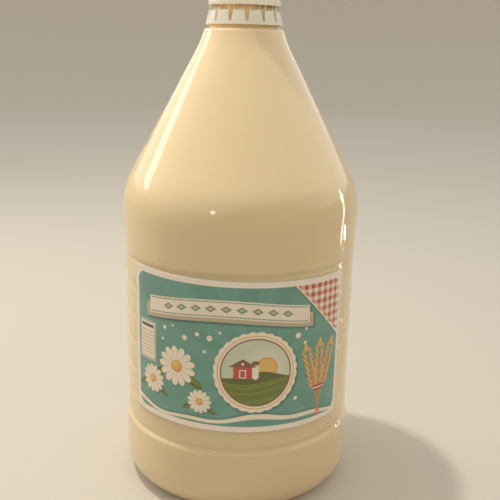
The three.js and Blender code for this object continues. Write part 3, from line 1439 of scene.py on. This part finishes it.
@dataclass
class Milk:
    """The milk, which reaches just into the wall so that no gap shows."""

    form: BottleForm = field(default_factory=BottleForm)
    inset: float = 0.5 * MM
    meniscus: float = 0.9 * MM
    meniscus_angles: tuple[float, ...] = (0.0, 0.4, 0.8, 1.2, QUARTER_TURN)
    surface_rings: tuple[float, ...] = (0.6, 0.3, 0.0)
    sides: int = 144
    step: float = 0.6 * MM
    finish: Finish = field(default_factory=CreamMilk)

    @property
    def level(self) -> float:
        """Height of the milk's surface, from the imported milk."""
        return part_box("milk")[1][2]

    def build(self, turner: Turner) -> bpy.types.Object:
        """Make the milk up to its level, with a curved edge at the neck.

        Args:
            turner: The tree that turns outlines.

        Returns:
            The milk.
        """
        outline = self.form.outline(self.inset, self.step)
        edge_r = outline[-1][0]
        curl = self.meniscus
        rim = [
            (edge_r - curl * (1 - math.cos(a)), self.level - curl * math.sin(a))
            for a in self.meniscus_angles
        ]
        flat = [(edge_r * share, self.level - curl) for share in self.surface_rings]
        made = turner.piece(
            "milk_fill", outline + rim + flat, self.sides, self.form.grooves, self.finish.material()
        )
        add_to_object(made, "milk", slot=Slot.MILK)
        return made


@dataclass
class WrapLabel:
    """The printed film on the waist, with rounded corners and a slight tilt."""

    UV_NAME = "Print"

    inner_r: float = 73.56 * MM
    thickness: float = 0.22 * MM
    half_angle: float = math.radians(57.2)
    bottom_z: float = 57.6 * MM
    top_z: float = 150.5 * MM
    corner: float = 3.0 * MM
    skew: float = math.radians(-1.07)
    sag: float = 0.07 * MM
    sag_sharpness: int = 8
    columns: int = 150
    rows: int = 110
    form: BottleForm = field(default_factory=BottleForm)
    finish: Finish = field(default_factory=PrintedFilm)

    def edge_drop(self, along: float) -> float:
        """How far the rounded corner lowers the edge.

        Args:
            along: Distance round the bottle from the front.

        Returns:
            The drop, 0 away from the corners.
        """
        half = self.inner_r * self.half_angle
        past = max(0.0, abs(along) - (half - self.corner))
        return self.corner - math.sqrt(max(0.0, self.corner**2 - past**2))

    def place(self, along: float, height: float) -> Vector:
        """A point of the film.

        Args:
            along: Distance round the bottle from the front.
            height: Height before the tilt.

        Returns:
            The point, where the film sags a little into the grooves.
        """
        angle = along / self.inner_r
        z = height + self.inner_r * math.sin(angle) * math.tan(self.skew)
        g = self.form.grooves
        dip = math.cos(math.pi * (z - g.first_z) / g.pitch) ** self.sag_sharpness
        return round_axis(self.inner_r + self.thickness - self.sag * dip, angle, z)

    def build(self) -> bpy.types.Object:
        """Make the film with its own map from 0 to 1 along and up the print.

        Returns:
            The film.
        """
        half = self.inner_r * self.half_angle
        middle = (self.top_z + self.bottom_z) / 2
        half_height = (self.top_z - self.bottom_z) / 2
        stations = [half * (2 * i / self.columns - 1) for i in range(self.columns + 1)]
        points: list[Vector] = []
        uvs: list[Point] = []
        for along in stations:
            reach = half_height - self.edge_drop(along)
            for j in range(self.rows + 1):
                height = reach * (2 * j / self.rows - 1)
                points.append(self.place(along, middle + height))
                uvs.append((0.5 + along / (2 * half), 0.5 + height / (2 * half_height)))
        stride = self.rows + 1
        faces = [
            (i * stride + j, (i + 1) * stride + j, (i + 1) * stride + j + 1, i * stride + j + 1)
            for i in range(self.columns) for j in range(self.rows)
        ]
        made = mesh_object("label_film", points, faces)
        layer = made.data.uv_layers.new(name=self.UV_NAME)
        for loop in made.data.loops:
            layer.data[loop.index].uv = uvs[loop.vertex_index]
        made.data.materials.append(self.finish.material())
        made.data.shade_smooth()
        thicken(made, self.thickness)
        make_plain(made)
        add_to_object(made, "label", slot=Slot.LABEL)
        return made


@dataclass
class Cap:
    """The white cap: knurled skirt, tamper band with slots, and the ties between them."""

    slots: int = 14
    first_slot: float = math.radians(4.2)
    top_r: float = 21.3 * MM
    top_edge: float = 1.1 * MM
    top_thick: float = 1.5 * MM
    top_rings: tuple[float, ...] = (0.7, 0.35, 0.0)
    ceiling_ring: float = 0.5
    skirt_z: float = 300.8 * MM
    skirt_r: float = 21.63 * MM
    skirt_wall: float = 1.4 * MM
    skirt_rim: float = 0.35 * MM
    skirt_draft: float = 0.12 * MM
    skirt_lead: float = 0.02 * MM
    skirt_bend: float = 0.5 * MM
    skirt_sides: int = 156
    plain_height: float = 3.2 * MM
    grip_step: float = 0.3 * MM
    knurls: int = 78
    knurl_proud: float = 0.34 * MM
    knurl_share: float = 0.8
    knurl_reach: float = 0.9
    knurl_ends: float = 6.0
    knurl_gap: float = 0.2 * MM
    knurl_root: float = 0.3 * MM
    band_z: float = 289.9 * MM
    band_top_z: float = 297.7 * MM
    band_r: float = 23.4 * MM
    band_top_r: float = 21.6 * MM
    band_wall: float = 1.0 * MM
    band_flare: float = 1.15
    band_edge: float = 0.22 * MM
    band_edge_angle: float = math.radians(40)
    ring_height: float = 1.8 * MM
    ring_step: float = 0.5 * MM
    tooth_step: float = 0.9 * MM
    slot_top: float = 3.0 * MM
    slot_floor: float = 1.5 * MM
    tie_angle: float = math.radians(7.8)
    tie_width: float = 0.4 * MM
    tie_depth: float = 0.7 * MM
    tie_waist: float = 0.4
    tie_overlap: float = 0.5 * MM
    finish: Finish = field(default_factory=CapPlastic)

    RIM_STEPS = 5
    EDGE_STEPS = 8
    KNURL_COLUMNS = 6
    KNURL_ROWS = 10
    TOOTH_COLUMNS = 10
    FOOT_COLUMNS = 2
    TIE_ROWS = 8
    BEVEL_SEGMENTS = 2

    @property
    def top_z(self) -> float:
        """Height of the cap's top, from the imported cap."""
        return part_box("cap")[1][2]

    @property
    def first_tooth(self) -> float:
        """Angle of the tooth that follows the first slot."""
        return self.first_slot + math.pi / self.slots

    def build(self, turner: Turner) -> list[bpy.types.Object]:
        """Make the cap's pieces in one material.

        Args:
            turner: The tree that turns outlines.

        Returns:
            The skirt, the grip, the band and the ties.
        """
        material = self.finish.material()
        repeat = ring_tree()
        pieces = [
            self.skirt(turner, material),
            self.grip(repeat, material),
            self.band(repeat, material),
            self.ties(repeat, material),
        ]
        for piece in pieces:
            add_to_object(piece, "cap", slot=Slot.CAP)
        return pieces

    def skirt_outline(self) -> list[Point]:
        """The skirt and top, from under the top, round the rim and back to the axis.

        Returns:
            Points of (radius, height).
        """
        edge = self.top_edge
        ceiling = self.top_z - self.top_thick
        inner_top = self.top_r - self.skirt_wall
        inner_bottom = self.skirt_r - self.skirt_wall
        rim = self.skirt_rim
        grip_z = self.skirt_z + self.plain_height
        grip_r = self.top_r - self.grip_step
        return [
            (0.0, ceiling), (inner_top * self.ceiling_ring, ceiling), (inner_top - rim, ceiling),
            (inner_top, ceiling - rim),
            (inner_bottom, self.skirt_z + rim),
            *arc(
                self.skirt_r - rim, self.skirt_z + rim, rim, -QUARTER_TURN, 0.0, self.RIM_STEPS
            ),
            (self.skirt_r - self.skirt_lead, grip_z - self.skirt_bend),
            (self.skirt_r - self.skirt_draft, grip_z),
            (grip_r, grip_z + self.grip_step),
            (grip_r, self.top_z - 2 * edge),
            *arc(grip_r - edge, self.top_z - edge, edge, 0.0, QUARTER_TURN, self.EDGE_STEPS),
            *((grip_r * share, self.top_z) for share in self.top_rings),
        ]

    def skirt(self, turner: Turner, material: bpy.types.Material) -> bpy.types.Object:
        """Turn the skirt and top."""
        outline = self.skirt_outline()
        return turner.piece("cap_skirt", outline, self.skirt_sides, NO_GROOVES, material)

    def grip(self, repeat: GeometryTree, material: bpy.types.Material) -> bpy.types.Object:
        """Repeat one rounded upright bar round the skirt.

        Args:
            repeat: The tree that repeats a shape in a ring.
            material: The cap's material.

        Returns:
            The grip.
        """
        base_r = self.top_r - self.grip_step
        low = self.skirt_z + self.plain_height + self.knurl_gap
        high = self.top_z - self.top_edge * self.knurl_reach
        half = math.pi / self.knurls * self.knurl_share
        columns, rows = self.KNURL_COLUMNS, self.KNURL_ROWS
        points = []
        for j in range(rows + 1):
            share = j / rows
            swell = math.sqrt(min(1.0, self.knurl_ends * min(share, 1 - share)))
            z = low + (high - low) * share
            for i in range(columns + 1):
                across = 2 * i / columns - 1
                proud = self.knurl_proud * swell * math.cos(QUARTER_TURN * across)
                points.append(round_axis(base_r + proud, half * across, z))
            points.append(round_axis(base_r - self.knurl_root, 0.0, z))
        stride = columns + 2
        faces = quads(rows + 1, stride, closed=True)
        faces.append(tuple(range(stride))[::-1])
        faces.append(tuple(rows * stride + i for i in range(stride)))
        made = mesh_object("cap_grip", points, faces)
        repeat.apply(made, {"Count": self.knurls, "First Angle": 0.0, "Material": material})
        make_plain(made)
        return made

    def band_radius(self, z: float) -> float:
        """The band's outer radius, which flares to its foot."""
        share = (self.band_top_z - z) / (self.band_top_z - self.band_z)
        return self.band_top_r + (self.band_r - self.band_top_r) * share**self.band_flare

    def tooth_half(self, z: float) -> float:
        """Half the angle that a tooth fills.

        Args:
            z: A height.

        Returns:
            The angle there.
        """
        floor_z = self.band_z + self.ring_height
        share = max(0.0, (z - floor_z) / (self.band_top_z - floor_z))
        width = self.slot_floor + (self.slot_top - self.slot_floor) * share
        return math.pi / self.slots - width / 2 / self.band_radius(z)

    def band(self, repeat: GeometryTree, material: bpy.types.Material) -> bpy.types.Object:
        """Repeat one tooth with its share of the ring, then thicken and round it.

        Args:
            repeat: The tree that repeats a shape in a ring.
            material: The cap's material.

        Returns:
            The band.
        """
        floor_z = self.band_z + self.ring_height
        ring_rows = spaced(self.band_z, floor_z, self.ring_step)
        tooth_rows = spaced(floor_z, self.band_top_z, self.tooth_step)[1:]
        tooth_columns, foot_columns = self.TOOTH_COLUMNS, self.FOOT_COLUMNS
        sector = math.pi / self.slots
        inner = self.tooth_half(floor_z)
        foot = [inner + (sector - inner) * (i + 1) / foot_columns for i in range(foot_columns)]
        points = []
        ring_width = tooth_columns + 1 + 2 * foot_columns
        for z in ring_rows:
            tooth = [inner * (2 * i / tooth_columns - 1) for i in range(tooth_columns + 1)]
            for angle in [-a for a in foot[::-1]] + tooth + foot:
                points.append(round_axis(self.band_radius(z), angle, z))
        faces = quads(len(ring_rows), ring_width)
        below = (len(ring_rows) - 1) * ring_width + foot_columns
        for z in tooth_rows:
            half = self.tooth_half(z)
            start = len(points)
            for i in range(tooth_columns + 1):
                angle = half * (2 * i / tooth_columns - 1)
                points.append(round_axis(self.band_radius(z), angle, z))
            for i in range(tooth_columns):
                faces.append((below + i, below + i + 1, start + i + 1, start + i))
            below = start
        made = mesh_object("tamper_band", points, faces)
        values = {"Count": self.slots, "First Angle": self.first_tooth, "Material": material}
        repeat.apply(made, values)
        thicken(made, self.band_wall)
        edges = made.modifiers.new("band edges", "BEVEL")
        edges.width = self.band_edge
        edges.segments = self.BEVEL_SEGMENTS
        edges.limit_method = "ANGLE"
        edges.angle_limit = self.band_edge_angle
        make_plain(made)
        return made

    def ties(self, repeat: GeometryTree, material: bpy.types.Material) -> bpy.types.Object:
        """Repeat the two waisted ties of one tooth.

        Args:
            repeat: The tree that repeats a shape in a ring.
            material: The cap's material.

        Returns:
            The ties.
        """
        low = self.band_top_z - self.tie_overlap
        high = self.skirt_z + self.tie_overlap
        middle_r = self.band_top_r - self.band_wall / 2
        rows = self.TIE_ROWS
        corners = ((-1, -1), (1, -1), (1, 1), (-1, 1))
        count = len(corners)
        points, faces = [], []
        for side in (-1, 1):
            start = len(points)
            for j in range(rows + 1):
                share = j / rows
                slim = 1 - self.tie_waist * math.sin(math.pi * share)
                z = low + (high - low) * share
                for across, through in corners:
                    angle = side * self.tie_angle + across * self.tie_width / 2 * slim / middle_r
                    radius = middle_r - through * self.tie_depth / 2 * slim
                    points.append(round_axis(radius, angle, z))
            faces += quads(rows + 1, count, start, closed=True)
            faces.append(tuple(start + i for i in reversed(range(count))))
            faces.append(tuple(start + rows * count + i for i in range(count)))
        made = mesh_object("cap_ties", points, faces)
        values = {"Count": self.slots, "First Angle": self.first_tooth, "Material": material}
        repeat.apply(made, values)
        make_plain(made)
        return made


@dataclass(frozen=True)
class SoftBox:
    """A studio lamp that faces a point: a rectangle, or an ellipse if it is round."""

    name: str
    place: Triple
    aim: Triple
    width: float
    height: float
    power: float
    colour: Triple
    is_round: bool = False
    lights_matt: bool = True
    lights_gloss: bool = True
    roll: float = 0.0
    spread: float = math.pi

    def build(self) -> bpy.types.Object:
        """Make the lamp, unseen by the camera itself.

        Returns:
            The lamp.
        """
        data = bpy.data.lights.new(self.name, "AREA")
        data.shape = "ELLIPSE" if self.is_round else "RECTANGLE"
        data.size = self.width
        data.size_y = self.height
        data.energy = self.power
        data.color = self.colour
        data.spread = self.spread
        lamp = bpy.data.objects.new(self.name, data)
        bpy.context.scene.collection.objects.link(lamp)
        lamp.location = self.place
        away = Vector(self.place) - Vector(self.aim)
        turn = away.to_track_quat("Z", "Y") @ Quaternion((0.0, 0.0, 1.0), self.roll)
        lamp.rotation_euler = turn.to_euler()
        lamp.visible_camera = False
        lamp.visible_diffuse = self.lights_matt
        lamp.visible_glossy = self.lights_gloss
        return lamp


WARM_WHITE: Triple = (1.0, 0.93, 0.80)
SPARK_WHITE: Triple = (1.0, 0.95, 0.85)
DAYLIGHT: Triple = (1.0, 0.97, 0.88)


@dataclass
class Studio:
    """Pale sweep, soft lamps, a surround that is dimmer in front, and the photo's camera."""

    floor_r: float = 3.0
    floor_ring: float = 1.5
    floor_sides: int = 96
    sweep_steps: int = 16
    sweep_r: float = 0.5
    wall_height: float = 0.1
    surround: Colour = (1.0, 0.965, 0.86, 1.0)
    surround_strength: float = 0.478
    front_surround: Colour = (0.42, 0.325, 0.23, 1.0)
    front: Point = (-0.25, -0.97)
    front_start: float = 0.3
    front_rise: float = 2.0
    front_fade: float = 1.6
    gleam: Colour = (1.0, 0.97, 0.92, 1.0)
    gleam_strength: float = 0.25
    gleam_behind: float = 3.2
    gleam_turn: float = 0.5
    gleam_rise: float = 1.4
    gleam_low: float = 0.0
    gleam_high: float = 0.05
    camera_place: Triple = (0.0, -0.470, 0.2753)
    camera_pitch: float = math.radians(15.0)
    camera_roll: float = math.radians(1.33)
    camera_yaw: float = math.radians(0.81)
    camera_lens: float = 53.64
    camera_sensor: float = 36.0
    camera_clip: Point = (0.01, 20.0)
    # The first four light the jug and the floor, and the rest are there for their reflections.
    lamps: tuple[SoftBox, ...] = (
        SoftBox(
            "key", (-0.415, 0.112, 1.38), (0.0, 0.0, 0.25), 0.08, 0.08, 5.7, WARM_WHITE,
            is_round=True,
        ),
        SoftBox(
            "left fill", (-1.25, -0.75, 0.60), (0.0, 0.0, 0.15), 0.9, 0.9, 1.3, (1.0, 0.70, 0.38),
            lights_gloss=False,
        ),
        SoftBox(
            "right fill", (1.25, -0.65, 0.55), (0.0, 0.0, 0.15), 0.9, 0.9, 1.4, (1.0, 0.72, 0.42),
            lights_gloss=False,
        ),
        SoftBox(
            "cap light", (-0.05, -0.45, 0.55), (0.0, 0.0, 0.318), 0.04, 0.04, 0.0021, WARM_WHITE,
            is_round=True, lights_gloss=False, spread=math.radians(9),
        ),
        SoftBox(
            "streak", (-0.82, 0.42, 0.61), (0.0, 0.0, 0.24), 0.21, 0.62, 1.1, DAYLIGHT,
            is_round=True, roll=math.radians(50),
        ),
        SoftBox(
            "right line", (0.585, 0.213, 0.16), (0.06, -0.0436, 0.14), 0.030, 0.34, 0.20,
            SPARK_WHITE, lights_matt=False,
        ),
        SoftBox(
            "right spark", (0.94, 0.38, 0.30), (0.06, -0.0436, 0.19), 0.10, 0.10, 0.25,
            SPARK_WHITE, is_round=True, lights_matt=False,
        ),
        SoftBox(
            "rib sparks", (0.575, 0.28, 0.017), (0.0675, -0.0315, 0.017), 0.04, 0.03, 0.04,
            DAYLIGHT, is_round=True, lights_matt=False,
        ),
        SoftBox(
            "left spark", (-0.447, -0.956, 0.368), (-0.0154, -0.0724, 0.185), 0.10, 0.10, 0.24,
            SPARK_WHITE, is_round=True, lights_matt=False,
        ),
    )

    def build(self) -> None:
        """Make the floor, the lamps, the surround and the camera."""
        self.floor()
        for lamp in self.lamps:
            lamp.build()
            log.info("lamp: %s", lamp.name)
        self.world()
        self.camera()

    def floor(self) -> None:
        """Make the round pale sweep that is floor and backdrop at once."""
        outline = [(0.0, 0.0), (self.floor_ring, 0.0)]
        outline += arc(
            self.floor_r, self.sweep_r, self.sweep_r, -QUARTER_TURN, 0.0, self.sweep_steps
        )
        outline.append((self.floor_r + self.sweep_r, self.sweep_r + self.wall_height))
        sides = self.floor_sides
        points = [round_axis(r, FULL_TURN * i / sides, z) for r, z in outline for i in range(sides)]
        faces = [
            (j * sides + i, (j + 1) * sides + i,
             (j + 1) * sides + (i + 1) % sides, j * sides + (i + 1) % sides)
            for j in range(1, len(outline) - 1) for i in range(sides)
        ]
        faces.append(tuple(sides + i for i in range(sides)))
        sweep = mesh_object("studio_sweep", points, faces)
        sweep.data.materials.append(StudioSweep().material())
        sweep.data.shade_smooth()

    def world(self) -> None:
        """Give the surround its even light, and gloss a brighter one above the horizon."""
        world = bpy.data.worlds.new("surround")
        world.use_nodes = True
        world.node_tree.nodes.clear()
        nodes = Nodes(world.node_tree)
        x, y, rise = nodes.parts(nodes.node("ShaderNodeTexCoord", output="Generated"))
        ahead = x * self.front[0] + y * self.front[1]
        side = ((ahead - self.front_start) * self.front_rise).clamp()
        dim = side * (1 - self.front_fade * rise).clamp()
        even = nodes.node(
            "ShaderNodeBackground",
            inputs={
                "Color": nodes.mix(self.surround, self.front_surround, dim),
                "Strength": self.surround_strength,
            },
        )
        above = ((rise - self.gleam_low) / (self.gleam_high - self.gleam_low)).clamp()
        in_gloss = nodes.node("ShaderNodeLightPath", output="Is Glossy Ray")
        turned = (self.gleam_turn + self.gleam_rise * ahead).clamp()
        share = self.gleam_behind + (1 - self.gleam_behind) * turned
        strength = self.gleam_strength * share * above * in_gloss
        gleam = nodes.node(
            "ShaderNodeBackground", inputs={"Color": self.gleam, "Strength": strength}
        )
        both = nodes.node("ShaderNodeAddShader", inputs={0: even, 1: gleam})
        nodes.node("ShaderNodeOutputWorld", inputs={"Surface": both})
        bpy.context.scene.world = world

    def camera(self) -> None:
        """Place the camera where the photo was taken from."""
        data = bpy.data.cameras.new("photo camera")
        data.lens = self.camera_lens
        data.sensor_width = self.camera_sensor
        data.clip_start, data.clip_end = self.camera_clip
        view = bpy.data.objects.new("photo camera", data)
        bpy.context.scene.collection.objects.link(view)
        pitch, roll, yaw = self.camera_pitch, self.camera_roll, self.camera_yaw
        ahead = Vector((
            math.sin(yaw) * math.cos(pitch), math.cos(yaw) * math.cos(pitch), -math.sin(pitch)
        ))
        right = Vector((math.cos(yaw), -math.sin(yaw), 0.0))
        up = right.cross(ahead)
        rolled_right = right * math.cos(roll) + up * math.sin(roll)
        rolled_up = up * math.cos(roll) - right * math.sin(roll)
        turn = Matrix((rolled_right, rolled_up, -ahead)).transposed()
        view.matrix_world = Matrix.Translation(self.camera_place) @ turn.to_4x4()
        bpy.context.scene.camera = view


def main() -> None:
    """Build every sub-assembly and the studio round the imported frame."""
    logging.basicConfig(level=logging.INFO, format="%(name)s: %(message)s")
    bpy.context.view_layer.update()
    turner = Turner()
    Bottle().build(turner)
    Milk().build(turner)
    WrapLabel().build()
    Cap().build(turner)
    Studio().build()
    bpy.context.scene.view_settings.view_transform = "Standard"


if __name__ == "__main__":
    main()
